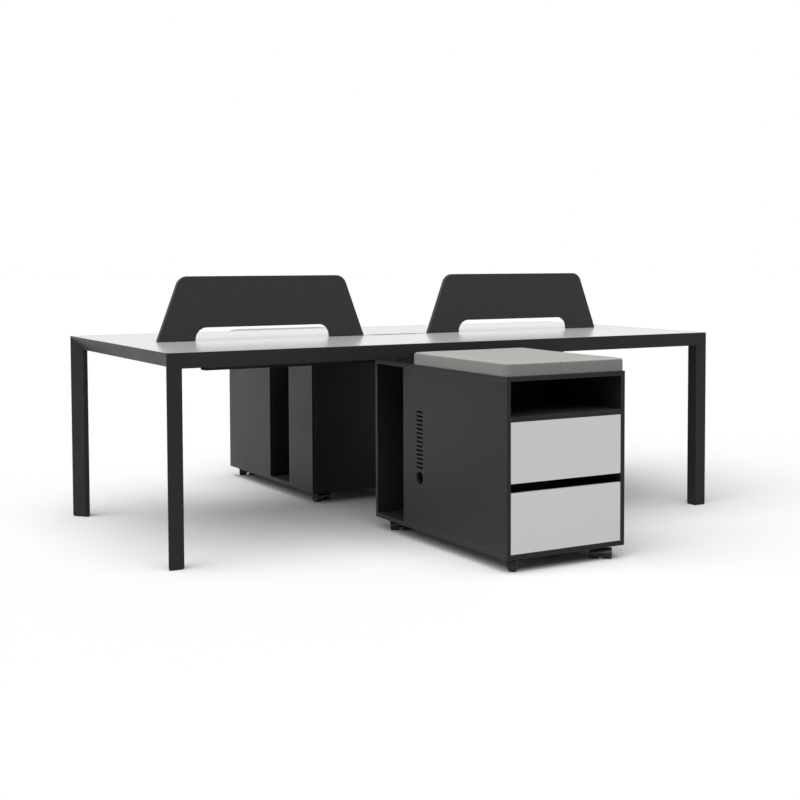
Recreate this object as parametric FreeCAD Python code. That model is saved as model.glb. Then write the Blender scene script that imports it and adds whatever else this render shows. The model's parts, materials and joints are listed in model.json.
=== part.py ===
import FreeCAD, Part
import math
import os

from FreeCAD import Vector

# A four-place office bench desk with two seat cabinets on castors.
# Millimetres. The origin is on the floor under the middle of the desk, X runs along the desk,
# Y runs away from the near side and Z is up. Everything on the far side is the near side turned half round.

# Desk as a whole
desk_length = 2400.0
desk_depth = 1200.0
desk_height = 750.0

# Frame tube: nearly a right-angled triangle in section, with a small blunt nose on its thin edge
# and a flat at the deep end of its sloped face
frame_side = 55.0
frame_flat = 18.0
frame_wall = 2.0
frame_nose = 5.0
frame_round = 2.0
lip_width = 25.0

# Table boards, laid in the frame's rebate, with a slot between them and a notch for cables in its middle
board_thickness = 18.0
board_play = 0.5
cable_notch_length = 230.0
cable_notch_corner = 20.0

# Feet under the legs
glide_height = 6.0
glide_inset = 2.0
glide_plug_length = 25.0
glide_plug_play = 0.2

# Pair of centre beams under the cable slot
beam_spacing = 50.0
beam_width = 30.0
beam_wall = 2.0

# Angle brackets that hold the centre beams to the end rails
bracket_leg = 44.0
bracket_height = 30.0
bracket_thickness = 3.0

# Bolts of the brackets and of the cable tray
bolt_radius = 3.0
bolt_hole_play = 0.1
bolt_grip = 9.0
bolt_head_radius = 5.5
bolt_head_height = 4.0

# Cable tray hung under the centre beams
tray_end_gap = 350.0
tray_length = desk_length - 2 * tray_end_gap
tray_depth = 60.0
tray_wall = 1.5
tray_bolt_count = 4
tray_bolt_end = 90.0

# Screens on the centre line, one for each half of the desk, as long as the gaps beside them leave
screen_end_gap = 166.0
screen_spacing = 308.0
screen_length = (desk_length - screen_spacing) / 2 - screen_end_gap
screen_height = 252.0
screen_thickness = 22.0
screen_side_play = 0.3
screen_side_run = 93.0
screen_corner = 48.0
screen_foot = 152.0
screen_cutout_height = 52.0
screen_cutout_corner = 46.0
screen_foot_corner = 4.0

# Clamps that hold the screens through the cable slot
clamp_width = 60.0
clamp_stem = 6.0
clamp_bar = 5.0
clamp_bar_play = 2.0
clamp_rise = 30.0
clamp_slot_play = 0.1

# Cabinet
cabinet_width = 500.0
cabinet_depth = 965.0
cabinet_reach = 665.0
cabinet_height = 626.0
panel = 16.0
shelf_opening = 121.0
drawer_bay_depth = 485.0

# Drawers
front_thickness = 16.0
front_reveal = 2.0
front_round = 1.0
finger_gap = 33.0
drawer_depth = 444.0
drawer_height = 150.0
drawer_lift = 12.0
drawer_wall = 12.0
drawer_floor = 6.0
drawer_side_gap = 12.0

# Runners: a bar on each side panel that a groove in the drawer side runs on
runner_height = 10.0
runner_bite = 7.0
runner_setback = 40.0
runner_play = 0.3
runner_rise = 70.0

# Air slots and cable hole in the closed side of the front computer bay
vent_count = 14
vent_pitch = 16.1
vent_length = 50.0
vent_height = 8.0
vent_low = 241.0
vent_setback = 127.0
cable_hole_radius = 25.0
cable_hole_height = 201.0

# Seat cushion
cushion_thickness = 46.0
cushion_gap = 4.0
cushion_corner = 10.0
cushion_bow = 2.0
cushion_tuck = 2.5
cushion_crown = 60.0
cushion_level_shares = (0.0, 0.14, 0.5, 0.8, 0.92, 0.96, 1.0)
cushion_tuck_shares = (0.8, 0.2, 0.0, 0.2, 1.0, 2.2)

# Castors
castor_height = 47.0
castor_side_inset = 70.0
castor_front_inset = 48.0
castor_rear_inset = 80.0
castor_turns = {"front_left": 57.0, "front_right": 147.0, "rear_left": 147.0, "rear_right": 20.0}
castor_trail = 13.0
castor_plate = 44.0
castor_plate_corner = 5.0
castor_plate_thickness = 2.5
swivel_gap = 0.3
pin_radius = 4.0
pin_play = 0.05
pin_end_gap = 0.4
fork_disc_radius = 15.0
fork_top = 3.0
fork_web = 16.0
fork_eye = 8.0
fork_neck = 11.0
hood_gap = 1.0
hood_wall = 2.0
hood_front_angle = 8.0
hood_back_angle = 152.0
wheel_radius = 18.5
wheel_width = 31.0
wheel_side_gap = 0.5
wheel_round = 3.0
wheel_dish_depth = 1.5
wheel_dish_inner = 7.0
wheel_dish_outer = 13.5
axle_radius = 3.0
axle_play = 0.05
axle_head_radius = 5.0
axle_head_length = 1.5

# How far every cut runs past the faces it opens
overrun = 5.0

# Places worked out from the sizes above
half_length = desk_length / 2
half_depth = desk_depth / 2
rail_end = half_length - frame_side
board_bottom = desk_height - board_thickness
slot_half = screen_thickness / 2 + screen_side_play
beam_height = frame_side - board_thickness
beam_bottom = board_bottom - beam_height
beam_inner = beam_spacing / 2
beam_outer = beam_inner + beam_width

cabinet_front = -half_depth - cabinet_reach
cabinet_rear = cabinet_front + cabinet_depth
cabinet_top = castor_height + cabinet_height
half_cabinet = cabinet_width / 2
inner_half = half_cabinet - panel
inner_floor = castor_height + panel
inner_top = cabinet_top - panel
shelf_top = inner_top - shelf_opening
shelf_bottom = shelf_top - panel
bay_width = (cabinet_depth - drawer_bay_depth - panel * 3) / 2
drawer_back_y = cabinet_front + drawer_bay_depth
bay_wall_y = drawer_back_y + panel + bay_width
front_height = (shelf_bottom - inner_floor - finger_gap - front_reveal * 2) / 2
lower_front_z = inner_floor + front_reveal
upper_front_z = lower_front_z + front_height + finger_gap
drawer_half = inner_half - drawer_side_gap

nodes = {}


def block(x0, x1, y0, y1, z0, z1):
    """A box between two planes on each axis."""
    return Part.makeBox(x1 - x0, y1 - y0, z1 - z0, Vector(x0, y0, z0))


def rounded_wire(points, radii):
    """A closed outline through points, with each corner rounded to its own radius."""
    edges = []
    ends = []
    count = len(points)
    for i in range(count):
        corner = points[i]
        radius = radii[i]
        if radius == 0:
            ends.append((corner, corner))
            continue
        to_last = (points[i - 1] - corner).normalize()
        to_next = (points[(i + 1) % count] - corner).normalize()
        half_angle = to_last.getAngle(to_next) / 2
        middle = (to_last + to_next).normalize()
        back_off = radius / math.tan(half_angle)
        arc_middle = corner + middle * (radius / math.sin(half_angle) - radius)
        first = corner + to_last * back_off
        last = corner + to_next * back_off
        ends.append((first, last))
        edges.append(Part.Arc(first, arc_middle, last).toShape())
    for i in range(count):
        edges.append(Part.LineSegment(ends[i - 1][1], ends[i][0]).toShape())
    return Part.Wire(Part.__sortEdges__(edges))


def prism(points, radii, run):
    """An outline, with rounded corners, drawn out along run."""
    return Part.Face(rounded_wire(points, radii)).extrude(run)


def sharp_prism(points, run):
    """An outline with sharp corners, drawn out along run."""
    return Part.Face(Part.makePolygon(points + points[:1])).extrude(run)


def mirrored(shape, axis):
    """The same shape on the other side of the middle plane square to axis."""
    return shape.mirror(Vector(), axis)


def turned(shape):
    """The same shape half a turn round the middle of the desk."""
    copy = shape.copy()
    copy.rotate(Vector(), Vector(0, 0, 1), 180)
    return copy


def group(shapes):
    """Separate solids that share one node."""
    return Part.makeCompound(shapes)


X_AXIS = Vector(1, 0, 0)
Y_AXIS = Vector(0, 1, 0)
Z_AXIS = Vector(0, 0, 1)


def inset_prism(points, inset, run):
    """An outline with sharp corners, moved inwards by inset and drawn out along run."""
    return Part.Face(Part.makePolygon(points + points[:1])).makeOffset2D(-inset).extrude(run)


def tube_outline(to_point):
    """Corners of the frame's section: across is from the thin edge inwards, deep is from the outside."""
    slope_end = frame_side - frame_flat
    corners = ((0, 0), (frame_side, 0), (frame_side, frame_side), (slope_end, frame_side), (0, frame_nose))
    return [to_point(across, deep) for across, deep in corners]


def slope_across(deep):
    """How far in from the thin edge the sloped face of an end tube lies at a depth."""
    return (frame_side - frame_flat) * (deep - frame_nose) / (frame_side - frame_nose)


def end_frame():
    """Rail and two legs of the left end, mitred at the corners, with the rebate for the boards."""
    radii = [frame_round] * 5

    def rail_point(across, deep):
        return Vector(-half_length + across, -half_depth, desk_height - deep)

    def leg_point(across, deep):
        return Vector(-half_length + across, -half_depth + deep, glide_height)

    rail_run = Y_AXIS * desk_depth
    rail = prism(tube_outline(rail_point), radii, rail_run)
    below_rebate = [rail_point(slope_across(board_thickness), board_thickness),
                    rail_point(frame_side, board_thickness), rail_point(frame_side, frame_side),
                    rail_point(frame_side - frame_flat, frame_side)]
    rail = rail.cut(inset_prism(below_rebate, frame_wall, rail_run))
    lip = -half_length + lip_width
    rebate_end = half_depth - lip_width
    rebate = block(lip, -rail_end + overrun, -rebate_end, rebate_end, board_bottom, desk_height + overrun)
    rail = rail.cut(rebate)

    leg_run = Z_AXIS * (desk_height - glide_height)
    leg = prism(tube_outline(leg_point), radii, leg_run)
    leg = leg.cut(inset_prism(tube_outline(leg_point), frame_wall, leg_run))

    # The mitre runs from the outer top corner down and inwards
    start = Vector(-half_length - overrun, -half_depth, desk_height)
    reach = frame_side + overrun
    across = X_AXIS * (frame_side + overrun * 2)
    inward = Y_AXIS * reach
    down = Z_AXIS * -reach
    above = sharp_prism([start, start + inward, start + inward + down], across)
    below = sharp_prism([start, start + inward + down, start + down], across)
    rail = rail.cut(below).cut(mirrored(below, Y_AXIS))
    leg = leg.cut(above)
    return rail, leg


def long_rail():
    """Near long rail: an upright face flush with the legs, a rebate for the board and a sloped back."""

    def point(inward, deep):
        return Vector(-rail_end, -half_depth + inward, desk_height - deep)

    corners = ((0, 0), (frame_side, 0), (frame_nose, frame_side), (0, frame_side))
    run = X_AXIS * (rail_end * 2)
    radii = [frame_round, 0, frame_round, frame_round]
    rail = prism([point(inward, deep) for inward, deep in corners], radii, run)

    ledge = frame_side - board_thickness * (frame_side - frame_nose) / frame_side
    below_rebate = [point(0, board_thickness), point(ledge, board_thickness),
                    point(frame_nose, frame_side), point(0, frame_side)]
    rail = rail.cut(inset_prism(below_rebate, frame_wall, run))
    lip = -half_depth + lip_width
    return rail.cut(block(-rail_end, rail_end, lip, lip + frame_side, board_bottom, desk_height + overrun))


def foot_glide():
    """Foot under the near left leg, with a plug up inside the tube."""

    def point(across, deep):
        return Vector(-half_length + across, -half_depth + deep, 0)

    pad = inset_prism(tube_outline(point), glide_inset, Z_AXIS * glide_height)
    plug_run = Z_AXIS * (glide_height + glide_plug_length)
    plug = inset_prism(tube_outline(point), frame_wall + glide_plug_play, plug_run)
    return pad.fuse(plug).removeSplitter()


def bolt(seat, out):
    """A bolt whose head sits on seat and points along out."""
    head = Part.makeCylinder(bolt_head_radius, bolt_head_height, seat, out)
    shank = Part.makeCylinder(bolt_radius, bolt_grip, seat, out * -1)
    return head.fuse(shank)


def bolt_hole(seat, out):
    """The hole for one bolt, from its seat inwards."""
    start = seat + out * overrun
    return Part.makeCylinder(bolt_radius + bolt_hole_play, bolt_grip + overrun * 2, start, out * -1)


def bracket_seats():
    """Seat and outward direction of both bolts of the bracket at the left end of the near beam."""
    middle = (bracket_leg + bracket_thickness) / 2
    height = board_bottom - beam_height / 2
    on_beam = Vector(-rail_end + middle, -beam_outer - bracket_thickness, height)
    on_rail = Vector(-rail_end + bracket_thickness, -beam_outer - middle, height)
    return [(on_beam, Y_AXIS * -1), (on_rail, X_AXIS)]


def tray_seats():
    """Seat and outward direction of the tray bolts under the near beam."""
    span = tray_length - tray_bolt_end * 2
    seats = []
    for i in range(tray_bolt_count):
        along = -span / 2 + span * i / (tray_bolt_count - 1)
        seats.append((Vector(along, -beam_inner - beam_width / 2, beam_bottom - tray_wall), Z_AXIS * -1))
    return seats


def four_ways(shape):
    """The shape of the near left quarter at all four corners of the desk."""
    right = mirrored(shape, X_AXIS)
    return [shape, right, mirrored(shape, Y_AXIS), mirrored(right, Y_AXIS)]


def both_sides(shape):
    """The shape of the near half and its mirror image on the far half."""
    return [shape, mirrored(shape, Y_AXIS)]


def build_frame():
    """Perimeter frame, feet, centre beams, their brackets and bolts, and the cable tray."""
    rail, leg = end_frame()
    bracket_holes = []
    bracket_bolts = []
    for seat, out in bracket_seats():
        bracket_holes += four_ways(bolt_hole(seat, out))
        bracket_bolts += four_ways(bolt(seat, out))
    tray_holes = []
    tray_bolts = []
    for seat, out in tray_seats():
        tray_holes += both_sides(bolt_hole(seat, out))
        tray_bolts += both_sides(bolt(seat, out))

    rail = rail.cut(group(bracket_holes))
    nodes["left_end_rail"] = rail
    nodes["right_end_rail"] = mirrored(rail, X_AXIS)
    names = ("near_left_leg", "near_right_leg", "far_left_leg", "far_right_leg")
    for name, shape in zip(names, four_ways(leg)):
        nodes[name] = shape
    near_rail = long_rail()
    nodes["near_long_rail"] = near_rail
    nodes["far_long_rail"] = mirrored(near_rail, Y_AXIS)
    nodes["foot_glides"] = group(four_ways(foot_glide()))

    beam = block(-rail_end, rail_end, -beam_outer, -beam_inner, beam_bottom, board_bottom)
    hollow = block(-rail_end, rail_end, -beam_outer + beam_wall, -beam_inner - beam_wall,
                   beam_bottom + beam_wall, board_bottom - beam_wall)
    beam = beam.cut(hollow).cut(group(bracket_holes + tray_holes))
    nodes["centre_beams"] = group(both_sides(beam))

    low = board_bottom - (beam_height + bracket_height) / 2
    corner = -beam_outer - bracket_thickness
    on_beam = block(-rail_end, -rail_end + bracket_leg, corner, -beam_outer, low, low + bracket_height)
    on_rail = block(-rail_end, -rail_end + bracket_thickness, -beam_outer - bracket_leg, -beam_outer,
                    low, low + bracket_height)
    bracket = on_beam.fuse(on_rail).removeSplitter().cut(group(bracket_holes))
    nodes["beam_brackets"] = group(four_ways(bracket))

    floor = beam_bottom - tray_depth
    inner = beam_inner - tray_wall
    half_tray = tray_length / 2
    flange = block(-half_tray, half_tray, -beam_outer, -inner, beam_bottom - tray_wall, beam_bottom)
    wall = block(-half_tray, half_tray, -beam_inner, -inner, floor, beam_bottom)
    base = block(-half_tray, half_tray, -beam_inner, beam_inner, floor, floor + tray_wall)
    tray = base.multiFuse(both_sides(flange) + both_sides(wall)).removeSplitter()
    nodes["cable_tray"] = tray.cut(group(tray_holes))
    nodes["frame_bolts"] = group(bracket_bolts + tray_bolts)


def build_boards():
    """The two table boards with the slot between them, notched for cables as far as the centre beams."""
    half = half_length - lip_width - board_play
    outer = half_depth - lip_width - board_play
    board = block(-half, half, -outer, -slot_half, board_bottom, desk_height)
    notch_end = cable_notch_length / 2
    places = ((-notch_end, 0), (-notch_end, -beam_inner), (notch_end, -beam_inner), (notch_end, 0))
    points = [Vector(x, y, board_bottom - overrun) for x, y in places]
    radii = [0, cable_notch_corner, cable_notch_corner, 0]
    board = board.cut(prism(points, radii, Z_AXIS * (board_thickness + overrun * 2)))
    nodes["near_top"] = board
    nodes["far_top"] = mirrored(board, Y_AXIS)


def clamp_places(middle):
    """Where the two clamps of a screen stand, in the middle of its feet."""
    reach = (screen_length - screen_foot) / 2
    return (middle - reach, middle + reach)


def screen(middle):
    """A screen that tapers upwards, with a low cut-out between its two feet."""
    half = screen_length / 2
    inner = half - screen_foot
    upper = half - screen_side_run
    top = desk_height + screen_height
    arch = desk_height + screen_cutout_height
    places = ((-half, desk_height), (-upper, top), (upper, top), (half, desk_height),
              (inner, desk_height), (inner, arch), (-inner, arch), (-inner, desk_height))
    foot = screen_foot_corner
    radii = [foot, screen_corner, screen_corner, foot, foot, screen_cutout_corner, screen_cutout_corner, foot]
    points = [Vector(middle + along, -screen_thickness / 2, height) for along, height in places]
    shape = prism(points, radii, Y_AXIS * screen_thickness)
    pocket_half = clamp_width / 2 + clamp_slot_play
    pocket_side = clamp_stem / 2 + clamp_slot_play
    for place in clamp_places(middle):
        shape = shape.cut(block(place - pocket_half, place + pocket_half, -pocket_side, pocket_side,
                                desk_height - overrun, desk_height + clamp_rise + clamp_slot_play))
    return shape


def screen_clamp(place):
    """A stem up into the screen's foot and a bar pulled up under both boards."""
    half = clamp_width / 2
    bar_half = beam_inner - clamp_bar_play
    bar = block(place - half, place + half, -bar_half, bar_half, board_bottom - clamp_bar, board_bottom)
    stem = block(place - half, place + half, -clamp_stem / 2, clamp_stem / 2,
                 board_bottom - clamp_bar, desk_height + clamp_rise)
    return bar.fuse(stem).removeSplitter()


def build_screens():
    """One screen for each half of the desk, with its clamps."""
    offset = (screen_spacing + screen_length) / 2
    nodes["left_screen"] = screen(-offset)
    nodes["right_screen"] = screen(offset)
    clamps = []
    for middle in (-offset, offset):
        clamps += [screen_clamp(place) for place in clamp_places(middle)]
    nodes["screen_clamps"] = group(clamps)


def vent_cuts(side_x, middle):
    """Air slots and the cable hole through the panel at side_x, above one another at middle."""
    start = side_x - overrun
    run = X_AXIS * (panel + overrun * 2)
    low = castor_height + vent_low
    half = vent_length / 2
    rise = vent_height / 2
    cuts = []
    for i in range(vent_count):
        height = low + vent_pitch * i
        points = [Vector(start, middle - half, height - rise), Vector(start, middle + half, height - rise),
                  Vector(start, middle + half, height + rise), Vector(start, middle - half, height + rise)]
        slot = sharp_prism([points[0] + Y_AXIS * rise, points[1] - Y_AXIS * rise,
                            points[2] - Y_AXIS * rise, points[3] + Y_AXIS * rise], run)
        ends = [Part.makeCylinder(rise, run.x, Vector(start, middle + shift, height), X_AXIS)
                for shift in (rise - half, half - rise)]
        cuts.append(slot.multiFuse(ends).removeSplitter())
    hole_middle = Vector(start, middle, castor_height + cable_hole_height)
    cuts.append(Part.makeCylinder(cable_hole_radius, run.x, hole_middle, X_AXIS))
    return group(cuts)


def carcass():
    """Panels of the near cabinet: a drawer bay in front and two computer bays open to opposite sides."""
    side = (inner_floor, inner_top)
    left_end = bay_wall_y + panel
    left = block(-half_cabinet, -inner_half, cabinet_front, left_end, *side)
    left = left.cut(vent_cuts(-half_cabinet, left_end - vent_setback))
    right_front = block(inner_half, half_cabinet, cabinet_front, drawer_back_y + panel, *side)
    right_rear = block(inner_half, half_cabinet, bay_wall_y, cabinet_rear, *side)
    cross = [block(-inner_half, inner_half, y, y + panel, *side) for y in (drawer_back_y, bay_wall_y)]
    cross.append(block(-half_cabinet, inner_half, cabinet_rear - panel, cabinet_rear, *side))
    return {
        "left_side_panel": left,
        "right_side_panels": group([right_front, right_rear]),
        "cross_panels": group(cross),
        "top_panel": block(-half_cabinet, half_cabinet, cabinet_front, cabinet_rear, inner_top, cabinet_top),
        "bottom_panel": block(-half_cabinet, half_cabinet, cabinet_front, cabinet_rear,
                              castor_height, inner_floor),
        "shelf_panel": block(-inner_half, inner_half, cabinet_front, drawer_back_y, shelf_bottom, shelf_top),
    }


def runner_span(front_z):
    """Lowest and highest level of the runners of the drawer whose front starts at front_z."""
    low = front_z + drawer_lift + runner_rise
    return low, low + runner_height


def drawer(front_z):
    """Front and box of one drawer, with the box grooved along both sides for its runners."""
    half = inner_half - front_reveal
    start = cabinet_front + front_thickness
    front = block(-half, half, cabinet_front, start, front_z, front_z + front_height)
    outer_edges = [edge for edge in front.Edges if edge.BoundBox.YMax < cabinet_front + front_round]
    front = front.makeFillet(front_round, outer_edges)

    end = start + drawer_depth
    low = front_z + drawer_lift
    box = block(-drawer_half, drawer_half, start, end, low, low + drawer_height)
    inner = drawer_half - drawer_wall
    box = box.cut(block(-inner, inner, start + drawer_wall, end - drawer_wall,
                        low + drawer_floor, low + drawer_height + overrun))
    groove_low, groove_high = runner_span(front_z)
    bite = drawer_half - runner_bite - runner_play
    groove = block(bite, drawer_half + overrun, cabinet_front + runner_setback - runner_play, end + overrun,
                   groove_low - runner_play, groove_high + runner_play)
    return front, box.cut(groove).cut(mirrored(groove, X_AXIS))


def drawer_runners():
    """The four runner bars fixed to the sides of the drawer bay."""
    bars = []
    start = cabinet_front + runner_setback
    for front_z in (upper_front_z, lower_front_z):
        low, high = runner_span(front_z)
        bar = block(drawer_half - runner_bite, inner_half, start, drawer_back_y, low, high)
        bars += [bar, mirrored(bar, X_AXIS)]
    return group(bars)


def cushion_ring(tuck, height):
    """One level of the cushion: sides drawn in between rounded corners, tuck inside the full outline."""
    start = cabinet_front + tuck
    end = -half_depth - cushion_gap - tuck
    half = half_cabinet - tuck
    corner = cushion_corner
    slack = corner * (1 - math.sqrt(0.5))
    middle = (start + end) / 2
    sides = [((-half + corner, start), (0, start + cushion_bow), (half - corner, start)),
             ((half, start + corner), (half - cushion_bow, middle), (half, end - corner)),
             ((half - corner, end), (0, end - cushion_bow), (-half + corner, end)),
             ((-half, end - corner), (-half + cushion_bow, middle), (-half, start + corner))]
    tips = [(half - slack, start + slack), (half - slack, end - slack),
            (-half + slack, end - slack), (-half + slack, start + slack)]

    def at(place):
        return Vector(place[0], place[1], height)

    edges = []
    for i, (first, bend, last) in enumerate(sides):
        edges.append(Part.Arc(at(first), at(bend), at(last)).toShape())
        edges.append(Part.Arc(at(last), at(tips[i]), at(sides[(i + 1) % len(sides)][0])).toShape())
    return Part.Wire(edges)


def cushion():
    """Seat cushion on the part of the cabinet that stands out in front of the desk."""
    tucks = [cushion_tuck * share for share in cushion_tuck_shares] + [cushion_crown]
    rings = []
    for level, tuck in zip(cushion_level_shares, tucks):
        rings.append(cushion_ring(tuck, cabinet_top + cushion_thickness * level))
    return Part.makeLoft(rings, True, True)


def castor_middles():
    """Swivel axes of the near cabinet's castors, by name."""
    across = half_cabinet - castor_side_inset
    front = cabinet_front + castor_front_inset
    rear = cabinet_rear - castor_rear_inset
    return {"front_left": (-across, front), "front_right": (across, front),
            "rear_left": (-across, rear), "rear_right": (across, rear)}


fork_top_z = castor_height - castor_plate_thickness - swivel_gap
fork_under_z = fork_top_z - fork_top
wheel_start = fork_web / 2 + wheel_side_gap
wheel_end = wheel_start + wheel_width


def castor_plate_shape(x, y):
    """Mounting plate of one castor with the pin that the fork turns on."""
    half = castor_plate / 2
    low = castor_height - castor_plate_thickness
    corners = ((-half, -half), (half, -half), (half, half), (-half, half))
    points = [Vector(x + across, y + along, low) for across, along in corners]
    plate = prism(points, [castor_plate_corner] * 4, Z_AXIS * castor_plate_thickness)
    pin_length = swivel_gap + fork_top - pin_end_gap
    pin = Part.makeCylinder(pin_radius, pin_length, Vector(x, y, low - pin_length))
    return plate.fuse(pin)


def castor_fork(x, y):
    """Body of one castor: a round top, a web between the wheels, a hood over them and the axle."""
    axle_y = y + castor_trail
    middle = Vector(x, axle_y, wheel_radius)
    disc = Part.makeCylinder(fork_disc_radius, fork_top, Vector(x, y, fork_under_z))
    places = ((y - fork_neck, fork_top_z), (y + fork_neck, fork_top_z), (axle_y + fork_eye, wheel_radius),
              (axle_y, wheel_radius - fork_eye), (axle_y - fork_eye, wheel_radius))
    web_side = x - fork_web / 2
    web = sharp_prism([Vector(web_side, along, height) for along, height in places], X_AXIS * fork_web)

    # The hood is a strip bent round the wheels, from low in front over the top to the back
    inner = wheel_radius + hood_gap
    outer = inner + hood_wall
    turn = hood_back_angle - hood_front_angle
    corners = ((-wheel_end, inner), (-wheel_end, outer), (wheel_end, outer), (wheel_end, inner))
    points = [Vector(x + across, axle_y + radius, wheel_radius) for across, radius in corners]
    strip = Part.makePolygon(points + points[:1])
    strip.rotate(middle, X_AXIS, hood_front_angle)
    hood = Part.Face(strip).revolve(middle, X_AXIS, turn)

    axle_start = Vector(x - wheel_end - axle_head_length, axle_y, wheel_radius)
    axle_length = (wheel_end + axle_head_length) * 2
    axle = Part.makeCylinder(axle_radius, axle_length, axle_start, X_AXIS)
    head_starts = (axle_start, axle_start + X_AXIS * (axle_length - axle_head_length))
    heads = [Part.makeCylinder(axle_head_radius, axle_head_length, place, X_AXIS) for place in head_starts]
    body = disc.multiFuse([web, hood, axle] + heads).removeSplitter()
    bore_start = Vector(x, y, fork_under_z - overrun)
    return body.cut(Part.makeCylinder(pin_radius + pin_play, fork_top + overrun * 2, bore_start))


def castor_wheel(start, axle_y):
    """One wheel from start along X, with a dished face on both sides and a bore for the axle."""
    wheel = Part.makeCylinder(wheel_radius, wheel_width, Vector(start, axle_y, wheel_radius), X_AXIS)
    rims = [edge for edge in wheel.Edges if len(edge.Vertexes) == 1]
    wheel = wheel.makeFillet(wheel_round, rims)
    for dish_start in (start - overrun, start + wheel_width - wheel_dish_depth):
        place = Vector(dish_start, axle_y, wheel_radius)
        depth = wheel_dish_depth + overrun
        dish = Part.makeCylinder(wheel_dish_outer, depth, place, X_AXIS)
        wheel = wheel.cut(dish.cut(Part.makeCylinder(wheel_dish_inner, depth, place, X_AXIS)))
    bore_start = Vector(start - overrun, axle_y, wheel_radius)
    bore = Part.makeCylinder(axle_radius + axle_play, wheel_width + overrun * 2, bore_start, X_AXIS)
    return wheel.cut(bore)


def castor_wheels(x, y):
    """The pair of wheels of one castor, one on each side of the web."""
    return group([castor_wheel(x + start, y + castor_trail) for start in (-wheel_end, wheel_start)])


def build_cabinets():
    """The near cabinet, and the far one as the same thing turned half round."""
    pieces = carcass()
    pieces["cushion"] = cushion()
    pieces["upper_drawer_front"], pieces["upper_drawer_box"] = drawer(upper_front_z)
    pieces["lower_drawer_front"], pieces["lower_drawer_box"] = drawer(lower_front_z)
    pieces["drawer_runners"] = drawer_runners()
    pieces["castor_plates"] = group([castor_plate_shape(x, y) for x, y in castor_middles().values()])
    for name, (x, y) in castor_middles().items():
        for kind, shape in (("fork", castor_fork(x, y)), ("wheels", castor_wheels(x, y))):
            shape.rotate(Vector(x, y, 0), Z_AXIS, castor_turns[name])
            pieces[f"{name}_castor_{kind}"] = shape
    for name, shape in pieces.items():
        nodes["near_" + name] = shape
        nodes["far_" + name] = turned(shape)


build_frame()
build_boards()
build_screens()
build_cabinets()

os.makedirs("parts", exist_ok=True)
for name, shape in nodes.items():
    shape.exportStep("parts/" + name + ".step")
    box = shape.BoundBox
    print(name, "valid" if shape.isValid() else "NOT VALID", len(shape.Solids), "solids",
          [round(value, 1) for value in (box.XMin, box.XMax, box.YMin, box.YMax, box.ZMin, box.ZMax)])
print(len(nodes), "nodes")
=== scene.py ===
import json
import math

import bmesh
import bpy
from mathutils import Matrix, Vector


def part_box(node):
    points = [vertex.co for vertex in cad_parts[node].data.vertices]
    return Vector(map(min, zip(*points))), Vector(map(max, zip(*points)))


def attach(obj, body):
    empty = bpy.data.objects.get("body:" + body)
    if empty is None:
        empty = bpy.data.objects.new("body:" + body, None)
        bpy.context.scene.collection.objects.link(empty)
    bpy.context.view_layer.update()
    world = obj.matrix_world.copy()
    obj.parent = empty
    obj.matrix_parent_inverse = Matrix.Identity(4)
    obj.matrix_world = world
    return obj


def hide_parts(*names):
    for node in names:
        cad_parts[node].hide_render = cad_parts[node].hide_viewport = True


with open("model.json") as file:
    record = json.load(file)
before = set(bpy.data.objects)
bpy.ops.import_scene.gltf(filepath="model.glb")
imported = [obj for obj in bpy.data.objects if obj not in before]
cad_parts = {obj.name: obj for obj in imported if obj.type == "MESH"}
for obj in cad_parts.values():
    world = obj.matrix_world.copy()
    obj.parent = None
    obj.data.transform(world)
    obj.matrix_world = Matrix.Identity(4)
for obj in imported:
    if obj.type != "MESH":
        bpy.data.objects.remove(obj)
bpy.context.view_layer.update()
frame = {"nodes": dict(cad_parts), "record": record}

# Looks of a four-place bench desk with two seat cabinets. Metres, in the frame's own axes.
millimetre = 0.001


# Helpers for shader nodes

# A display level as a share of the top level, with this offset and power, gives its light
top_level = 255
display_offset = 0.055
display_power = 2.4


def feed(tree, socket, value):
    """Links socket to another node's output, or sets it to a plain value."""
    if isinstance(value, bpy.types.NodeSocket):
        tree.links.new(value, socket)
    else:
        socket.default_value = value


def add(tree, kind, inputs=None, **settings):
    """A node of that kind with its own settings, and with its inputs by name or by number."""
    made = tree.nodes.new("ShaderNode" + kind)
    for name, value in settings.items():
        setattr(made, name, value)
    for key, value in (inputs or {}).items():
        feed(tree, made.inputs[key], value)
    return made


def maths(tree, operation, *values):
    """One sum or function of up to three values."""
    return add(tree, "Math", dict(enumerate(values)), operation=operation).outputs["Value"]


def weigh(tree, first, share, second):
    """That share of first, and the rest of second."""
    return maths(tree, "MULTIPLY_ADD", first, share, maths(tree, "MULTIPLY", second, 1 - share))


def spread(tree, value, low, high, to_low=0.0, to_high=1.0):
    """value, from low to high, spread over to_low to to_high and held there."""
    inputs = {"Value": value, "From Min": low, "From Max": high, "To Min": to_low, "To Max": to_high}
    return add(tree, "MapRange", inputs).outputs["Result"]


def blend_values(tree, factor, first, second):
    """The value first where factor is 0, second where it is 1."""
    return add(tree, "Mix", {"Factor": factor, "A": first, "B": second}).outputs["Result"]


def blend_colours(tree, factor, first, second):
    """The colour first where factor is 0, second where it is 1."""
    inputs = {"Factor": factor, "A": first, "B": second}
    return add(tree, "Mix", inputs, data_type="RGBA").outputs["Result"]


def place_on_object(tree):
    """Where a point is on its object, in metres."""
    return add(tree, "TexCoord").outputs["Object"]


def axes_of(tree, vector):
    """The X, Y and Z of a vector."""
    return add(tree, "SeparateXYZ", {"Vector": vector}).outputs


def noise(tree, where, scale, detail=2.0, rough=0.5):
    """Smooth noise from about 0 to 1, with scale in features per metre."""
    inputs = {"Vector": where, "Scale": scale, "Detail": detail, "Roughness": rough}
    return add(tree, "TexNoise", inputs).outputs["Fac"]


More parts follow.
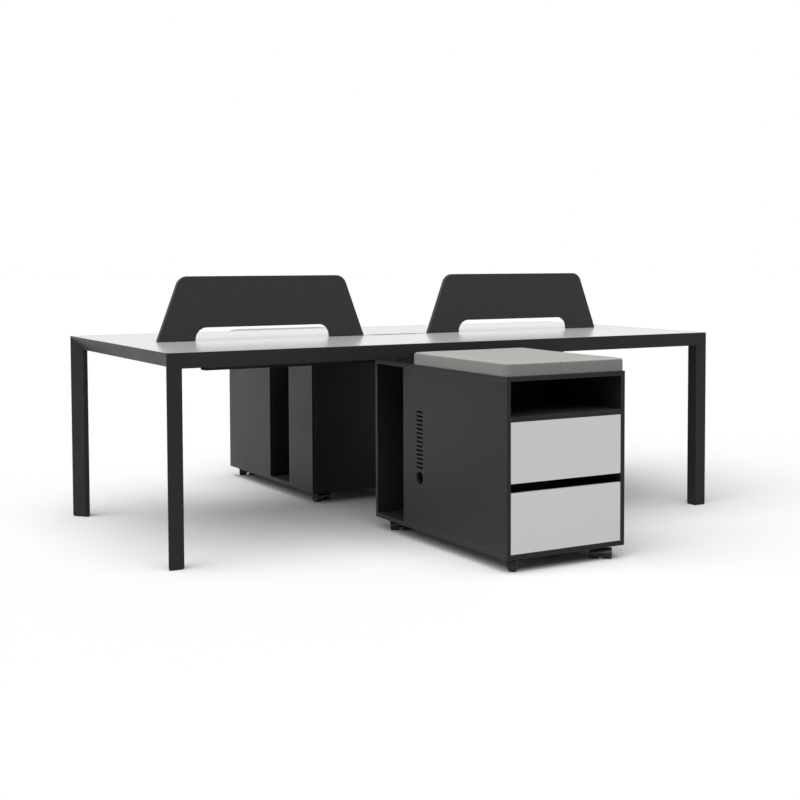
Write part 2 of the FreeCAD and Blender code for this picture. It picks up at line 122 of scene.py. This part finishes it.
def effect_group(name, inputs, outputs):
    """An empty node group with these number inputs and these outputs."""
    tree = bpy.data.node_groups.new(name, "ShaderNodeTree")
    for label, value in inputs.items():
        socket = tree.interface.new_socket(label, in_out="INPUT", socket_type="NodeSocketFloat")
        socket.default_value = value
    for label in outputs:
        tree.interface.new_socket(label, in_out="OUTPUT", socket_type="NodeSocketFloat")
    return tree, tree.nodes.new("NodeGroupInput").outputs, tree.nodes.new("NodeGroupOutput").inputs


def light_of(level):
    """The light that a display level, 0 to 255, stands for."""
    return ((level / top_level + display_offset) / (1 + display_offset)) ** display_power


def tint(red, green, blue):
    """A colour from its display levels."""
    return (light_of(red), light_of(green), light_of(blue), 1.0)


def grey(level):
    """A neutral colour from its display level."""
    return tint(level, level, level)


# Helpers for objects

def new_object(name, data):
    """An object in the scene that shows a mesh, or is a lamp or a camera."""
    made = bpy.data.objects.new(name, data)
    bpy.context.scene.collection.objects.link(made)
    return made


def mesh_of(shape, name):
    """A mesh of that name from a finished shape."""
    mesh = bpy.data.meshes.new(name)
    shape.to_mesh(mesh)
    shape.free()
    return mesh


def made_mesh(piece, name):
    """The mesh that piece shows with its modifiers, as a mesh of its own. The piece itself goes."""
    graph = bpy.context.evaluated_depsgraph_get()
    mesh = bpy.data.meshes.new_from_object(piece.evaluated_get(graph))
    mesh.name = name
    bpy.data.objects.remove(piece)
    return mesh


# Effects that several finishes share

# The middle of a noise's range, where nearly all of it lies
usual_noise = (0.35, 0.65)
# Fine grain: share of the pebble in its tone
pebble_share = 0.45
# Edge wear and painted highlight: cosine of an edge's turn where they start and where they are full, and the
# least between patches
worn_and_lit_start = 0.97
worn_and_lit_full = 0.8
least_wear_and_highlight = 0.25
# Dust: how far a surface faces up where dust begins to lie, and the part of the noise that shows as patches
dust_start = 0.6
dust_patches = (0.35, 0.75)
# Weave: how far up the cover faces where its painted-lighter top panel begins and where it is full, and its
# yarns' flecks
lit_top_panel_start = 0.6
lit_top_panel_full = 0.98
flecks_per_metre = 420.0
fleck_stretch = 0.06
# Felt: turns of its fibres in degrees, how they are drawn out, their share of the tone, the ground's mottle
fibre_turns = (20, 80, 140)
fibre_stretch = 0.12
fibre_share = 0.6
mottle_per_metre = 140.0
# Brushing: how the scratches are drawn out
scratch_stretch = 0.02


def make_fine_grain():
    """Tone and height of a fine pebble over a slow cloud, for paint, laminate and moulded plastic."""
    inputs = {"Pebble per metre": 900.0, "Cloud per metre": 6.0}
    tree, given, out = effect_group("fine_grain", inputs, ("Tone", "Height"))
    where = place_on_object(tree)
    pebble = noise(tree, where, given["Pebble per metre"], detail=1.0)
    cloud = noise(tree, where, given["Cloud per metre"], detail=3.0)
    tree.links.new(weigh(tree, pebble, pebble_share, cloud), out["Tone"])
    tree.links.new(pebble, out["Height"])
    return tree


def make_edge_wear_and_highlight():
    """A mask of the outer edges, broken up in patches, for worn edges and for painted highlights along them.
    """
    inputs = {"Width": 1.5 * millimetre, "Patches per metre": 40.0}
    tree, given, out = effect_group("edge_wear_and_highlight", inputs, ("Mask",))
    rounded = add(tree, "Bevel", {"Radius": given["Width"]}, samples=4).outputs["Normal"]
    flat = add(tree, "NewGeometry").outputs["Normal"]
    turn = add(tree, "VectorMath", {0: rounded, 1: flat}, operation="DOT_PRODUCT").outputs["Value"]
    edge = spread(tree, turn, worn_and_lit_start, worn_and_lit_full)
    cloud = noise(tree, place_on_object(tree), given["Patches per metre"], detail=3.0)
    patches = spread(tree, cloud, *usual_noise, to_low=least_wear_and_highlight)
    tree.links.new(maths(tree, "MULTIPLY", edge, patches), out["Mask"])
    return tree


def make_dust():
    """A mask of the thin dust that settles on what faces up."""
    tree, given, out = effect_group("settled_dust", {"Patches per metre": 5.0}, ("Mask",))
    coordinates = add(tree, "TexCoord").outputs
    facing = spread(tree, axes_of(tree, coordinates["Normal"])["Z"], dust_start, 1.0)
    cloud = noise(tree, coordinates["Object"], given["Patches per metre"], detail=5.0, rough=0.6)
    tree.links.new(maths(tree, "MULTIPLY", facing, spread(tree, cloud, *dust_patches)), out["Mask"])
    return tree


def make_weave():
    """Height, yarn tone, gaps and top panel of a plain weave that follows the faces of a boxed pad; the top
    panel also marks where the cover gets painted light.
    """
    outputs = ("Height", "Tone", "Gap", "Top")
    tree, given, out = effect_group("plain_weave", {"Thread": 1.8 * millimetre}, outputs)
    coordinates = add(tree, "TexCoord").outputs
    place = axes_of(tree, coordinates["Object"])
    facing = axes_of(tree, coordinates["Normal"])
    across = maths(tree, "ABSOLUTE", facing["X"])
    along = maths(tree, "ABSOLUTE", facing["Y"])
    # Where the cover faces up: the top panel, whose weave turns, and where the cover is painted lighter as
    # light
    top = spread(tree, maths(tree, "ABSOLUTE", facing["Z"]), lit_top_panel_start, lit_top_panel_full)
    upright = maths(tree, "SUBTRACT", 1.0, top)
    side = maths(tree, "MULTIPLY", maths(tree, "GREATER_THAN", across, along), upright)
    warp = blend_values(tree, side, place["X"], place["Y"])
    weft = blend_values(tree, top, place["Z"], place["Y"])
    waves = []
    for run in (warp, weft):
        turns = maths(tree, "MULTIPLY", maths(tree, "DIVIDE", run, given["Thread"]), math.pi)
        waves.append(maths(tree, "SINE", turns))
    over = maths(tree, "GREATER_THAN", maths(tree, "MULTIPLY", *waves), 0.0)
    ridges = [maths(tree, "ABSOLUTE", wave) for wave in waves]
    hollows = [maths(tree, "SUBTRACT", 1.0, ridge) for ridge in ridges]
    yarns = []
    for across_yarn, along_yarn in ((warp, weft), (weft, warp)):
        drawn = maths(tree, "MULTIPLY", along_yarn, fleck_stretch)
        where = add(tree, "CombineXYZ", {"X": across_yarn, "Y": drawn}).outputs["Vector"]
        yarns.append(noise(tree, where, flecks_per_metre))
    tree.links.new(blend_values(tree, over, *ridges), out["Height"])
    tree.links.new(blend_values(tree, over, *yarns), out["Tone"])
    tree.links.new(maths(tree, "MULTIPLY", *hollows), out["Gap"])
    tree.links.new(top, out["Top"])
    return tree


def make_fibres():
    """Tone and height of pressed felt: short fibres laid every way over a mottled ground."""
    tree, given, out = effect_group("pressed_fibres", {"Fibres per metre": 260.0}, ("Tone", "Height"))
    where = place_on_object(tree)
    layers = []
    for turn in fibre_turns:
        rotation = (0.0, math.radians(turn), 0.0)
        inputs = {"Vector": where, "Rotation": rotation, "Scale": (fibre_stretch, 1.0, 1.0)}
        drawn = add(tree, "Mapping", inputs).outputs["Vector"]
        layers.append(noise(tree, drawn, given["Fibres per metre"], detail=3.0, rough=0.7))
    strongest = maths(tree, "MAXIMUM", maths(tree, "MAXIMUM", layers[0], layers[1]), layers[2])
    mottle = noise(tree, where, mottle_per_metre, detail=3.0, rough=0.6)
    tree.links.new(weigh(tree, strongest, fibre_share, mottle), out["Tone"])
    tree.links.new(strongest, out["Height"])
    return tree


def make_brushing():
    """Tone of fine parallel scratches along Y, for plated and bright steel."""
    tree, given, out = effect_group("brushing", {"Lines per metre": 2500.0}, ("Tone",))
    inputs = {"Vector": place_on_object(tree), "Scale": (1.0, scratch_stretch, 1.0)}
    drawn = add(tree, "Mapping", inputs).outputs["Vector"]
    tree.links.new(noise(tree, drawn, given["Lines per metre"]), out["Tone"])
    return tree


fine_grain = make_fine_grain()
edge_wear_and_highlight = make_edge_wear_and_highlight()
settled_dust = make_dust()
plain_weave = make_weave()
pressed_fibres = make_fibres()
brushing = make_brushing()


# Finishes

dust_colour = grey(190)
# How much settled dust adds to the tone that dulls a coating, and the tones between which its gloss changes
dust_dulling = 0.3
gloss_tones = (0.3, 0.8)
# Steel: share of the brushing in its tone, and how far its roughness falls and rises with that tone
brushing_share = 0.5
steel_brighter = 0.08
steel_duller = 0.1
# Tones of the felt's fibres and of the cover's yarns, from the dark to the light colour
fibre_tones = (0.42, 0.68)
yarn_tones = (0.3, 0.7)
# Gaps between the cover's yarns, darkened as painted shade: where they begin and end to darken, and how much
gap_range = (0.35, 0.9)
gap_shade = 0.8


def finish(name, **settings):
    """A new material with the constants of its shader set, its node tree and its shader."""
    made = bpy.data.materials.new(name)
    made.use_nodes = True
    shader = made.node_tree.nodes["Principled BSDF"]
    for socket, value in settings.items():
        shader.inputs[socket.replace("_", " ")].default_value = value
    return made, made.node_tree, shader


def effect(tree, group, **values):
    """The outputs of one shared effect, placed in this material with its own values."""
    placed = tree.nodes.new("ShaderNodeGroup")
    placed.node_tree = group
    for label, value in values.items():
        placed.inputs[label.replace("_", " ")].default_value = value
    return placed.outputs


def set_bump(tree, shader, height, depth, strength):
    """Relief of that depth in metres from a height of 0 to 1."""
    made = add(tree, "Bump", {"Height": height, "Distance": depth, "Strength": strength})
    tree.links.new(made.outputs["Normal"], shader.inputs["Normal"])


def coated(name, dark, light, worn_and_lit_edge, rough, pebble, depth,
           wear_and_highlight=0.35, edge=1.5 * millimetre, dust=0.06, specular=0.5, swing=0.07):
    """A paint, laminate or moulded plastic: two tones of fine grain, paler edges that are wear and painted
    highlight, and a trace of dust.
    """
    made, tree, shader = finish(name, Specular_IOR_Level=specular)
    grain = effect(tree, fine_grain, Pebble_per_metre=pebble)
    colour = blend_colours(tree, spread(tree, grain["Tone"], *usual_noise), grey(dark), grey(light))
    edges = effect(tree, edge_wear_and_highlight, Width=edge)["Mask"]
    # Paler edges: real wear, and painted highlight where edges catch the light
    colour = blend_colours(tree, maths(tree, "MULTIPLY", edges, wear_and_highlight), colour, grey(worn_and_lit_edge))
    settled = effect(tree, settled_dust)["Mask"]
    colour = blend_colours(tree, maths(tree, "MULTIPLY", settled, dust), colour, dust_colour)
    tree.links.new(colour, shader.inputs["Base Color"])
    tone = maths(tree, "MULTIPLY_ADD", settled, dust_dulling, grain["Tone"])
    roughness = spread(tree, tone, *gloss_tones, rough - swing, rough + swing)
    tree.links.new(roughness, shader.inputs["Roughness"])
    set_bump(tree, shader, grain["Height"], depth, strength=0.6)
    return made


def bright_steel(name, dark, light, rough):
    """Plated steel with fine brushing."""
    made, tree, shader = finish(name, Metallic=1.0)
    lines = effect(tree, brushing)["Tone"]
    grain = effect(tree, fine_grain, Pebble_per_metre=400.0, Cloud_per_metre=60.0)["Tone"]
    tone = spread(tree, weigh(tree, lines, brushing_share, grain), *usual_noise)
    tree.links.new(blend_colours(tree, tone, grey(dark), grey(light)), shader.inputs["Base Color"])
    roughness = spread(tree, tone, 0.0, 1.0, rough - steel_brighter, rough + steel_duller)
    tree.links.new(roughness, shader.inputs["Roughness"])
    set_bump(tree, shader, lines, depth=0.02 * millimetre, strength=0.4)
    return made


def felt(name, dark, light):
    """Dark pressed felt with short fibres."""
    made, tree, shader = finish(name, Roughness=0.95, Specular_IOR_Level=0.15,
                                Sheen_Weight=0.12, Sheen_Roughness=0.5)
    fibres = effect(tree, pressed_fibres)
    tone = spread(tree, fibres["Tone"], *fibre_tones)
    tree.links.new(blend_colours(tree, tone, grey(dark), grey(light)), shader.inputs["Base Color"])
    set_bump(tree, shader, fibres["Height"], depth=0.3 * millimetre, strength=0.5)
    return made


def woven_fabric(name, band, lit_top_panel, shaded_gap_colour):
    """Grey woven seat cover with mixed yarns; its side band, painted darker as shade, and its top panel,
    painted lighter as light, each from dark to light.
    """
    made, tree, shader = finish(name, Roughness=0.9, Specular_IOR_Level=0.2,
                                Sheen_Weight=0.6, Sheen_Roughness=0.35)
    weave = effect(tree, plain_weave)
    tone = spread(tree, weave["Tone"], *yarn_tones)
    # Painted shade on the upright side band and painted light on the top panel
    shaded_band_and_lit_top = [blend_colours(tree, tone, *colours) for colours in (band, lit_top_panel)]
    colour = blend_colours(tree, weave["Top"], *shaded_band_and_lit_top)
    # Painted shade in the hollows between yarns
    gaps = spread(tree, weave["Gap"], *gap_range, to_high=gap_shade)
    tree.links.new(blend_colours(tree, gaps, colour, shaded_gap_colour), shader.inputs["Base Color"])
    set_bump(tree, shader, weave["Height"], depth=0.4 * millimetre, strength=0.7)
    return made


# Coatings: display levels of both tones and of the paler edges (wear and painted highlight), roughness,
# pebbles per metre and their depth, and whatever differs from the usual edge wear and highlight, dust and
# gloss
coatings = {
    "frame_paint": dict(dark=33, light=38, worn_and_lit_edge=84, rough=0.42, pebble=900.0, depth=0.05 * millimetre,
                        specular=0.16),
    "table_laminate": dict(dark=198, light=203, worn_and_lit_edge=210, rough=0.21, pebble=1600.0, depth=0.004 * millimetre,
                           wear_and_highlight=0.2, dust=0.02, swing=0.015),
    # The cabinet's paler front edges are painted highlight
    "cabinet_laminate": dict(dark=32, light=37, worn_and_lit_edge=86, rough=0.4, pebble=1200.0, depth=0.04 * millimetre,
                             wear_and_highlight=0.6, edge=4 * millimetre, specular=0.15),
    # The drawer fronts' pale edges are painted highlight
    "drawer_front_laminate": dict(dark=206, light=211, worn_and_lit_edge=240, rough=0.45, pebble=1200.0,
                                  depth=0.03 * millimetre, wear_and_highlight=0.8, edge=4 * millimetre, dust=0.02,
                                  specular=0.3),
    "drawer_box_board": dict(dark=118, light=128, worn_and_lit_edge=150, rough=0.5, pebble=800.0, depth=0.03 * millimetre),
    "castor_steel": dict(dark=26, light=32, worn_and_lit_edge=80, rough=0.4, pebble=700.0, depth=0.04 * millimetre,
                         specular=0.35),
    "castor_tread": dict(dark=24, light=30, worn_and_lit_edge=62, rough=0.55, pebble=500.0, depth=0.06 * millimetre,
                         specular=0.3),
    "glide_plastic": dict(dark=18, light=24, worn_and_lit_edge=50, rough=0.5, pebble=700.0, depth=0.05 * millimetre,
                          specular=0.3),
}
finishes = {name: coated(name, **values) for name, values in coatings.items()}
finishes["screen_felt"] = felt("screen_felt", dark=52, light=62)
finishes["runner_steel"] = bright_steel("runner_steel", dark=165, light=205, rough=0.34)
finishes["bolt_steel"] = bright_steel("bolt_steel", dark=150, light=195, rough=0.3)
# The band's colours are painted shade on the cushion's sides, the top panel's are painted light on its top
finishes["cushion_fabric"] = woven_fabric("cushion_fabric",
                                          band=(tint(114, 114, 111), tint(132, 132, 129)),
                                          lit_top_panel=(tint(174, 173, 169), tint(192, 191, 187)),
                                          shaded_gap_colour=tint(100, 100, 98))
for part in frame["record"]["subparts"]:
    mesh = frame["nodes"][part["node"]].data
    mesh.materials.clear()
    mesh.materials.append(finishes[part["material_slot"]])


# Seat cushions

# Foam: size of its even mesh, how far inside its place it starts, its upright corners, how much is cut off
# underneath and how often its edges are smoothed
cushion_voxel = 5 * millimetre
cushion_start_inset = 1 * millimetre
cushion_corner = 14 * millimetre
corner_steps = 6
cushion_trim = 6 * millimetre
edge_softening = 9
# Cover: how far and how hard it is blown up, in how many frames and steps of each, and where it is held
cushion_rise_limit = 3 * millimetre
cushion_pressure = 4.0
cushion_frames = 20
steps_per_frame = 5
held_depth = 4 * millimetre
sewn_width = 7 * millimetre
# Upright corner seams: how wide and deep they are drawn in, and how far from the corner at most
seam_half_width = 4 * millimetre
seam_depth = 1.2 * millimetre
seam_reach = 30 * millimetre


def foam_blank(low, high):
    """A boxed pad with rounded upright corners, a little inside its place, meshed evenly."""
    reach = (high - low) / 2
    middle = (high + low) / 2
    flat = Vector((reach.x - cushion_start_inset - cushion_corner,
                   reach.y - cushion_start_inset - cushion_corner))
    shape = bmesh.new()
    rings = []
    for height in (low.z - cushion_trim, high.z):
        ring = []
        for quarter, (side, end) in enumerate(((1, 1), (-1, 1), (-1, -1), (1, -1))):
            for step in range(corner_steps + 1):
                angle = math.pi / 2 * (quarter + step / corner_steps)
                x = middle.x + side * flat.x + cushion_corner * math.cos(angle)
                y = middle.y + end * flat.y + cushion_corner * math.sin(angle)
                ring.append(shape.verts.new((x, y, height)))
        rings.append(ring)
    bottom, top = rings
    shape.faces.new(reversed(bottom))
    shape.faces.new(top)
    for i in range(len(bottom)):
        shape.faces.new((bottom[i - 1], bottom[i], top[i], top[i - 1]))
    blank = new_object("foam_blank", mesh_of(shape, "boxed_pad"))
    remesh = blank.modifiers.new("even", "REMESH")
    remesh.mode = "VOXEL"
    remesh.voxel_size = cushion_voxel
    blank.modifiers.new("soft_edges", "SMOOTH").iterations = edge_softening
    return made_mesh(blank, "even_pad")


def inside_of(co, low, high):
    """How far a point is inside the nearest side and the nearest end of the cushion's place."""
    return min(co.x - low.x, high.x - co.x), min(co.y - low.y, high.y - co.y)


def is_held(co, low, high):
    """Whether the cover is fixed there: underneath, or along an edge where two panels are sewn together."""
    second_nearest = sorted((*inside_of(co, low, high), high.z - co.z))[1]
    return co.z < low.z + held_depth or second_nearest < sewn_width


def swollen(even, low, high):
    """The evenly meshed pad after its cover is blown tight over the foam, between its sewn edges."""
    pad = new_object("pad_in_work", even)
    held = pad.vertex_groups.new(name="held")
    held.add([v.index for v in even.vertices if is_held(v.co, low, high)], 1.0, "REPLACE")
    cloth = pad.modifiers.new("cover", "CLOTH")
    cloth.settings.use_pressure = True
    cloth.settings.uniform_pressure_force = cushion_pressure
    cloth.settings.vertex_group_mass = "held"
    cloth.settings.effector_weights.gravity = 0.0
    cloth.settings.quality = steps_per_frame
    cloth.point_cache.frame_end = cushion_frames
    scene = bpy.context.scene
    for step in range(1, cushion_frames + 1):
        scene.frame_set(step)
    blown = made_mesh(pad, "blown_pad")
    for start, end in zip(even.vertices, blown.vertices):
        move = end.co - start.co
        if move.length > cushion_rise_limit:
            end.co = start.co + move.normalized() * cushion_rise_limit
    scene.frame_set(1)
    return blown


def finer(mesh, name):
    """mesh with one step of smooth subdivision."""
    piece = new_object("finer_in_work", mesh)
    piece.modifiers.new("smooth", "SUBSURF").levels = 1
    return made_mesh(piece, name)


def sew_corners(mesh, low, high):
    """Draws in the four upright corner seams of the cover."""
    for vertex in mesh.vertices:
        from_side, from_end = inside_of(vertex.co, low, high)
        off_seam = abs(from_side - from_end) / math.sqrt(2)
        if off_seam < seam_half_width and from_side < seam_reach:
            share = 0.5 + 0.5 * math.cos(math.pi * off_seam / seam_half_width)
            upright = max(0.0, 1.0 - abs(vertex.normal.z))
            vertex.co = vertex.co - vertex.normal * seam_depth * share * upright


def trim_underside(mesh, height):
    """Cuts the pad flat where it lies on the cabinet."""
    shape = bmesh.new()
    shape.from_mesh(mesh)
    everything = shape.verts[:] + shape.edges[:] + shape.faces[:]
    cut = bmesh.ops.bisect_plane(shape, geom=everything, plane_co=(0, 0, height), plane_no=(0, 0, 1),
                                 clear_inner=True)
    rim = [item for item in cut["geom_cut"] if isinstance(item, bmesh.types.BMEdge)]
    bmesh.ops.contextual_create(shape, geom=rim)
    shape.to_mesh(mesh)
    shape.free()


def near_cushion():
    """The near cabinet's seat cushion, blown up over its foam and sewn at its corners."""
    low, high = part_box("near_cushion")
    mesh = foam_blank(low, high)
    mesh = swollen(mesh, low, high)
    mesh = finer(mesh, "seat_cushion")
    sew_corners(mesh, low, high)
    trim_underside(mesh, low.z)
    for face in mesh.polygons:
        face.use_smooth = True
    mesh.materials.clear()
    mesh.materials.append(finishes["cushion_fabric"])
    return mesh


cushion_mesh = near_cushion()
for end, turn in (("near", 0.0), ("far", math.pi)):
    cushion = new_object(end + "_seat_cushion", cushion_mesh)
    cushion.matrix_world = Matrix.Rotation(turn, 4, "Z")
    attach(cushion, end + "_cabinet")
    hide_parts(end + "_cushion")


# Trim of the table top: cover strips pressed into the slot and a thin laminate edging on the frame's lip

strip_thickness = 12 * millimetre
strip_chamfer = 0.4 * millimetre
clamp_width = 60 * millimetre
clamp_clearance = 1 * millimetre
# Edging: its lap over the boards, how far inside the frame's outer edge it starts, its rise above the boards
# and the bevel of both its edges
edging_lap = 0.5 * millimetre
edging_reach = 3 * millimetre
edging_rise = 0.5 * millimetre
edging_bevel = 0.3 * millimetre


def add_trim(shape, name):
    """A piece of trim on the desk from a finished shape, in the table's laminate."""
    piece = new_object(name, mesh_of(shape, name))
    piece.data.materials.append(finishes["table_laminate"])
    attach(piece, "desk")


def add_slot_covers():
    """Strips that close the slot beside the screens and under their cut-outs, clear of their clamps."""
    board_low, board_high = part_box("near_top")
    screen_low, screen_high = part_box("left_screen")
    outer_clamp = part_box("screen_clamps")[0].x
    inner_clamp = screen_low.x + screen_high.x - outer_clamp - clamp_width
    slot_width = -2 * board_high.y
    spans = [(board_low.x, outer_clamp - clamp_clearance),
             (outer_clamp + clamp_width + clamp_clearance, inner_clamp - clamp_clearance)]
    spans += [(-end, -start) for start, end in spans]
    shape = bmesh.new()
    for start, end in spans:
        size = Vector((end - start, slot_width, strip_thickness))
        middle = Vector(((start + end) / 2, 0.0, board_high.z - strip_thickness / 2))
        place = Matrix.Translation(middle) @ Matrix.Diagonal((*size, 1.0))
        strip = bmesh.ops.create_cube(shape, size=1.0, matrix=place)["verts"]
        top = [edge for edge in shape.edges if all(v in strip and v.co.z > middle.z for v in edge.verts)]
        bmesh.ops.bevel(shape, geom=top, offset=strip_chamfer, segments=2, profile=0.5, affect="EDGES")
    add_trim(shape, "slot_covers")


def add_edging():
    """A band of laminate round the boards that hides the frame's lip nearly up to its outer edge."""
    outer = Vector((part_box("right_end_rail")[1].x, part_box("far_long_rail")[1].y))
    board_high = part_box("near_top")[1]
    inner = outer.x - board_high.x + edging_lap
    section = ((edging_reach, 0.0), (edging_reach, edging_rise - edging_bevel),
               (edging_reach + edging_bevel, edging_rise), (inner - edging_bevel, edging_rise),
               (inner, edging_rise - edging_bevel), (inner, 0.0))
    shape = bmesh.new()
    loops = []
    for inset, rise in section:
        half = outer - Vector((inset, inset))
        corners = ((-half.x, -half.y), (half.x, -half.y), (half.x, half.y), (-half.x, half.y))
        loops.append([shape.verts.new((x, y, board_high.z + rise)) for x, y in corners])
    for i, loop in enumerate(loops):
        last = loops[i - 1]
        for k in range(len(loop)):
            shape.faces.new((last[k - 1], last[k], loop[k], loop[k - 1]))
    bmesh.ops.recalc_face_normals(shape, faces=shape.faces)
    add_trim(shape, "top_edging")


add_slot_covers()
add_edging()


# Floor, light and camera

floor_half = 60.0
# Floor: its two tones under the light, the tone in which it is seen, and its clouds
floor_dark = grey(225)
floor_light = grey(228)
floor_seen = grey(245)
floor_clouds_per_metre = 2.0
white = grey(255)
sky_light = 0.22
# Lamps: strength, and in degrees the width of the source, its tilt from overhead and its turn from the front
lamps = {
    "overhead_softbox": dict(strength=2.85, width=80, tilt=24, turn=-50),
    "left_softbox": dict(strength=0.5, width=60, tilt=72, turn=-100),
}
# The photograph's camera: where it stands, how it is turned and dipped in radians, its focal length in pixels
# and the pixel where its axis meets the picture
camera_place = (-2.755, -5.1832, 1.084)
camera_yaw = 0.564
camera_dip = 0.054
focal_pixels = 1385.4
axis_pixel = (500, 330)
picture_pixels = 800
camera_reach = 4 * floor_half


def seen_rays(tree):
    """1 for what is seen, straight, in a mirror or through glass, and 0 for light that falls on the part."""
    rays = add(tree, "LightPath").outputs
    mirrored = maths(tree, "MAXIMUM", rays["Is Glossy Ray"], rays["Is Transmission Ray"])
    return maths(tree, "MAXIMUM", rays["Is Camera Ray"], mirrored)


def make_floor():
    """A wide pale floor that takes the shadow."""
    shape = bmesh.new()
    bmesh.ops.create_grid(shape, x_segments=1, y_segments=1, size=floor_half)
    floor = new_object("floor", mesh_of(shape, "floor"))
    made, tree, shader = finish("floor_paint", Roughness=0.9, Specular_IOR_Level=0.0)
    cloud = noise(tree, place_on_object(tree), floor_clouds_per_metre)
    painted = blend_colours(tree, cloud, floor_dark, floor_light)
    tree.links.new(blend_colours(tree, seen_rays(tree), painted, floor_seen), shader.inputs["Base Color"])
    floor.data.materials.append(made)


def make_sky():
    """White where it is seen, in mirrors and through glass too, and a soft even light elsewhere."""
    world = bpy.data.worlds.new("studio")
    world.use_nodes = True
    bpy.context.scene.world = world
    tree = world.node_tree
    backdrop = tree.nodes["Background"]
    backdrop.inputs["Color"].default_value = white
    tree.links.new(spread(tree, seen_rays(tree), 0.0, 1.0, to_low=sky_light), backdrop.inputs["Strength"])


def make_lamps():
    """A broad soft light from above, a little to the front and left, and a weaker one low on the left."""
    for name, values in lamps.items():
        lamp = bpy.data.lights.new(name, "SUN")
        lamp.energy = values["strength"]
        lamp.angle = math.radians(values["width"])
        placed = new_object(name, lamp)
        placed.rotation_euler = (math.radians(values["tilt"]), 0.0, math.radians(values["turn"]))


def make_camera():
    """The camera at the photograph's viewing angle."""
    data = bpy.data.cameras.new("camera")
    data.lens = focal_pixels / picture_pixels * data.sensor_width
    data.shift_x = 0.5 - axis_pixel[0] / picture_pixels
    data.shift_y = axis_pixel[1] / picture_pixels - 0.5
    data.clip_end = camera_reach
    camera = new_object("camera", data)
    camera.location = camera_place
    camera.rotation_euler = (math.pi / 2 - camera_dip, 0.0, -camera_yaw)
    bpy.context.scene.camera = camera


make_floor()
make_sky()
make_lamps()
make_camera()
bpy.context.scene.view_settings.view_transform = "Standard"
